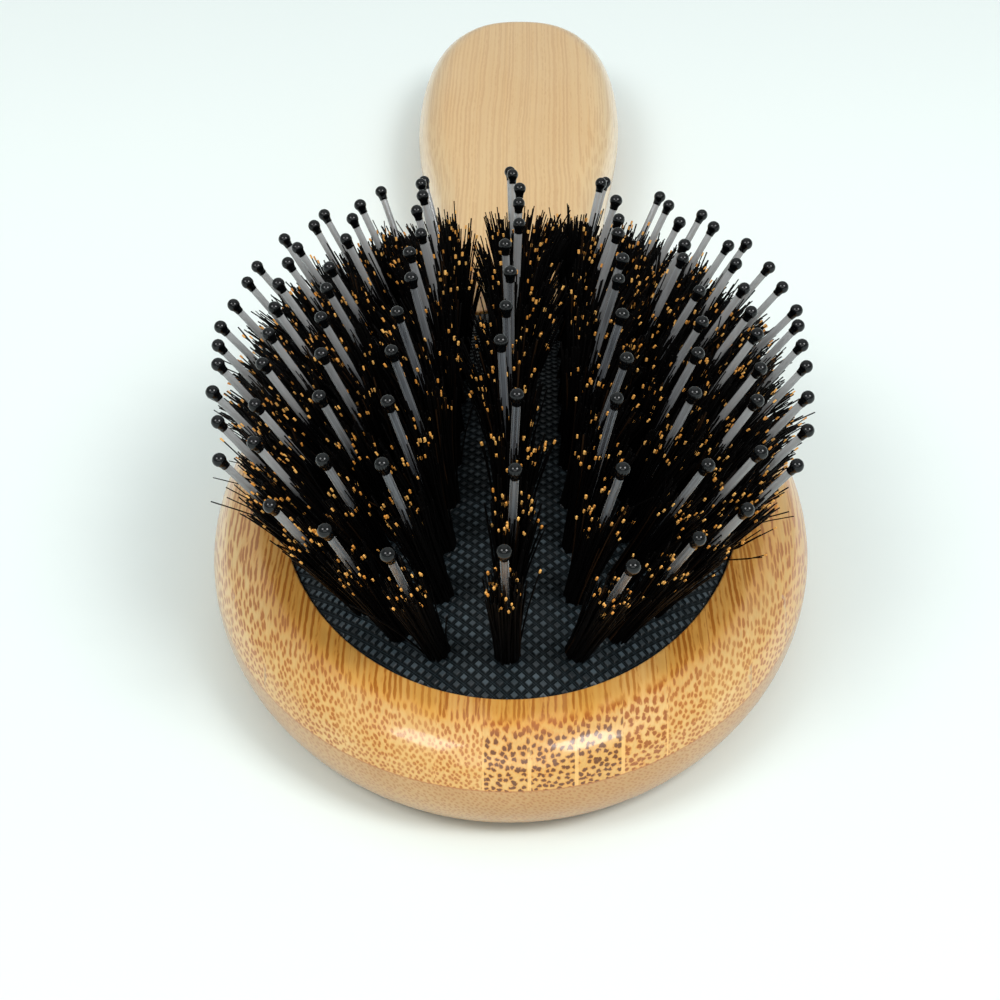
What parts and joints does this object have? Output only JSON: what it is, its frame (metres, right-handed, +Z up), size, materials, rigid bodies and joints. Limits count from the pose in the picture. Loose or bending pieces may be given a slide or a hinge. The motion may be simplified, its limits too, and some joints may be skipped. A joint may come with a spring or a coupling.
{
  "type": "paddle hair brush",
  "caption": "Oval cushion hair brush with a laminated bamboo body, a sprung rubber air cushion and mixed boar-bristle and ball-tipped nylon tufts.",
  "frame": {"origin": "under the middle of the whole brush, on the flat back it rests on", "axes": "+Z up out of the bristle side, +Y along the handle from the head's round tip to the handle's end, +X to the right seen from the head's tip"},
  "size_m": [0.068, 0.2276, 0.0399],
  "materials": {
    "bamboo_front": "edge-glued bamboo strips under a satin-gloss clear varnish",
    "bamboo_back": "bamboo board under a satin-gloss clear varnish",
    "cushion_rubber": "matt charcoal rubber with a fine woven texture of small raised squares",
    "nylon_pin": "smoky translucent nylon, glossy",
    "ball_tip": "glossy black dipped ball",
    "boar_bristle": "natural boar hair, dark with cut golden-brown ends",
    "tuft_anchor": "matt moulded plastic, hidden inside the cushion"
  },
  "bodies": {
    "body": {"back_ply": "bamboo_back", "front_strip_01": "bamboo_front", "front_strip_02": "bamboo_front", "front_strip_03": "bamboo_front", "front_strip_04": "bamboo_front", "front_strip_05": "bamboo_front", "front_strip_06": "bamboo_front", "front_strip_07": "bamboo_front", "front_strip_08": "bamboo_front", "front_strip_09": "bamboo_front", "front_strip_10": "bamboo_front", "front_strip_11": "bamboo_front", "front_strip_12": "bamboo_front", "front_strip_13": "bamboo_front", "front_strip_14": "bamboo_front", "front_strip_15": "bamboo_front", "cushion": "cushion_rubber"},
    "tuft_bed": {"tuft_anchors_column_1": "tuft_anchor", "tuft_anchors_column_2": "tuft_anchor", "tuft_anchors_column_3": "tuft_anchor", "tuft_anchors_column_4": "tuft_anchor", "tuft_anchors_column_5": "tuft_anchor", "tuft_anchors_column_6": "tuft_anchor", "tuft_anchors_column_7": "tuft_anchor", "tuft_anchors_column_8": "tuft_anchor", "tuft_anchors_column_9": "tuft_anchor"},
    "tufts_column_1": {"pins_column_1": "nylon_pin", "ball_tips_column_1": "ball_tip", "bristles_column_1": "boar_bristle"},
    "tufts_column_2": {"pins_column_2": "nylon_pin", "ball_tips_column_2": "ball_tip", "bristles_column_2": "boar_bristle"},
    "tufts_column_3": {"pins_column_3": "nylon_pin", "ball_tips_column_3": "ball_tip", "bristles_column_3": "boar_bristle"},
    "tufts_column_4": {"pins_column_4": "nylon_pin", "ball_tips_column_4": "ball_tip", "bristles_column_4": "boar_bristle"},
    "tufts_column_5": {"pins_column_5": "nylon_pin", "ball_tips_column_5": "ball_tip", "bristles_column_5": "boar_bristle"},
    "tufts_column_6": {"pins_column_6": "nylon_pin", "ball_tips_column_6": "ball_tip", "bristles_column_6": "boar_bristle"},
    "tufts_column_7": {"pins_column_7": "nylon_pin", "ball_tips_column_7": "ball_tip", "bristles_column_7": "boar_bristle"},
    "tufts_column_8": {"pins_column_8": "nylon_pin", "ball_tips_column_8": "ball_tip", "bristles_column_8": "boar_bristle"},
    "tufts_column_9": {"pins_column_9": "nylon_pin", "ball_tips_column_9": "ball_tip", "bristles_column_9": "boar_bristle"}
  },
  "joints": [
    {"name": "cushion_press", "type": "slide", "parent": "body", "child": "tuft_bed", "axis": [0, 0, -1], "range_m": [0, 0.0032], "stiffness_N_per_m": 2000, "deforming": ["cushion"]},
    {"name": "column_1_sway", "type": "hinge", "parent": "tuft_bed", "child": "tufts_column_1", "pos_m": [-0.01959, -0.06015, 0.0151], "axis": [0, 1, 0], "range_deg": [-5, 5], "stiffness_Nm_per_rad": 0.02, "deforming": ["cushion"]},
    {"name": "column_2_sway", "type": "hinge", "parent": "tuft_bed", "child": "tufts_column_2", "pos_m": [-0.01586, -0.06015, 0.017], "axis": [0, 1, 0], "range_deg": [-5, 5], "stiffness_Nm_per_rad": 0.02, "deforming": ["cushion"]},
    {"name": "column_3_sway", "type": "hinge", "parent": "tuft_bed", "child": "tufts_column_3", "pos_m": [-0.0116, -0.06015, 0.0185], "axis": [0, 1, 0], "range_deg": [-5, 5], "stiffness_Nm_per_rad": 0.02, "deforming": ["cushion"]},
    {"name": "column_4_sway", "type": "hinge", "parent": "tuft_bed", "child": "tufts_column_4", "pos_m": [-0.00674, -0.06015, 0.0196], "axis": [0, 1, 0], "range_deg": [-5, 5], "stiffness_Nm_per_rad": 0.02, "deforming": ["cushion"]},
    {"name": "column_5_sway", "type": "hinge", "parent": "tuft_bed", "child": "tufts_column_5", "pos_m": [0, -0.06015, 0.0201], "axis": [0, 1, 0], "range_deg": [-5, 5], "stiffness_Nm_per_rad": 0.02, "deforming": ["cushion"]},
    {"name": "column_6_sway", "type": "hinge", "parent": "tuft_bed", "child": "tufts_column_6", "pos_m": [0.00674, -0.06015, 0.0196], "axis": [0, 1, 0], "range_deg": [-5, 5], "stiffness_Nm_per_rad": 0.02, "deforming": ["cushion"]},
    {"name": "column_7_sway", "type": "hinge", "parent": "tuft_bed", "child": "tufts_column_7", "pos_m": [0.0116, -0.06015, 0.0185], "axis": [0, 1, 0], "range_deg": [-5, 5], "stiffness_Nm_per_rad": 0.02, "deforming": ["cushion"]},
    {"name": "column_8_sway", "type": "hinge", "parent": "tuft_bed", "child": "tufts_column_8", "pos_m": [0.01586, -0.06015, 0.017], "axis": [0, 1, 0], "range_deg": [-5, 5], "stiffness_Nm_per_rad": 0.02, "deforming": ["cushion"]},
    {"name": "column_9_sway", "type": "hinge", "parent": "tuft_bed", "child": "tufts_column_9", "pos_m": [0.01959, -0.06015, 0.0151], "axis": [0, 1, 0], "range_deg": [-5, 5], "stiffness_Nm_per_rad": 0.02, "deforming": ["cushion"]}
  ]
}
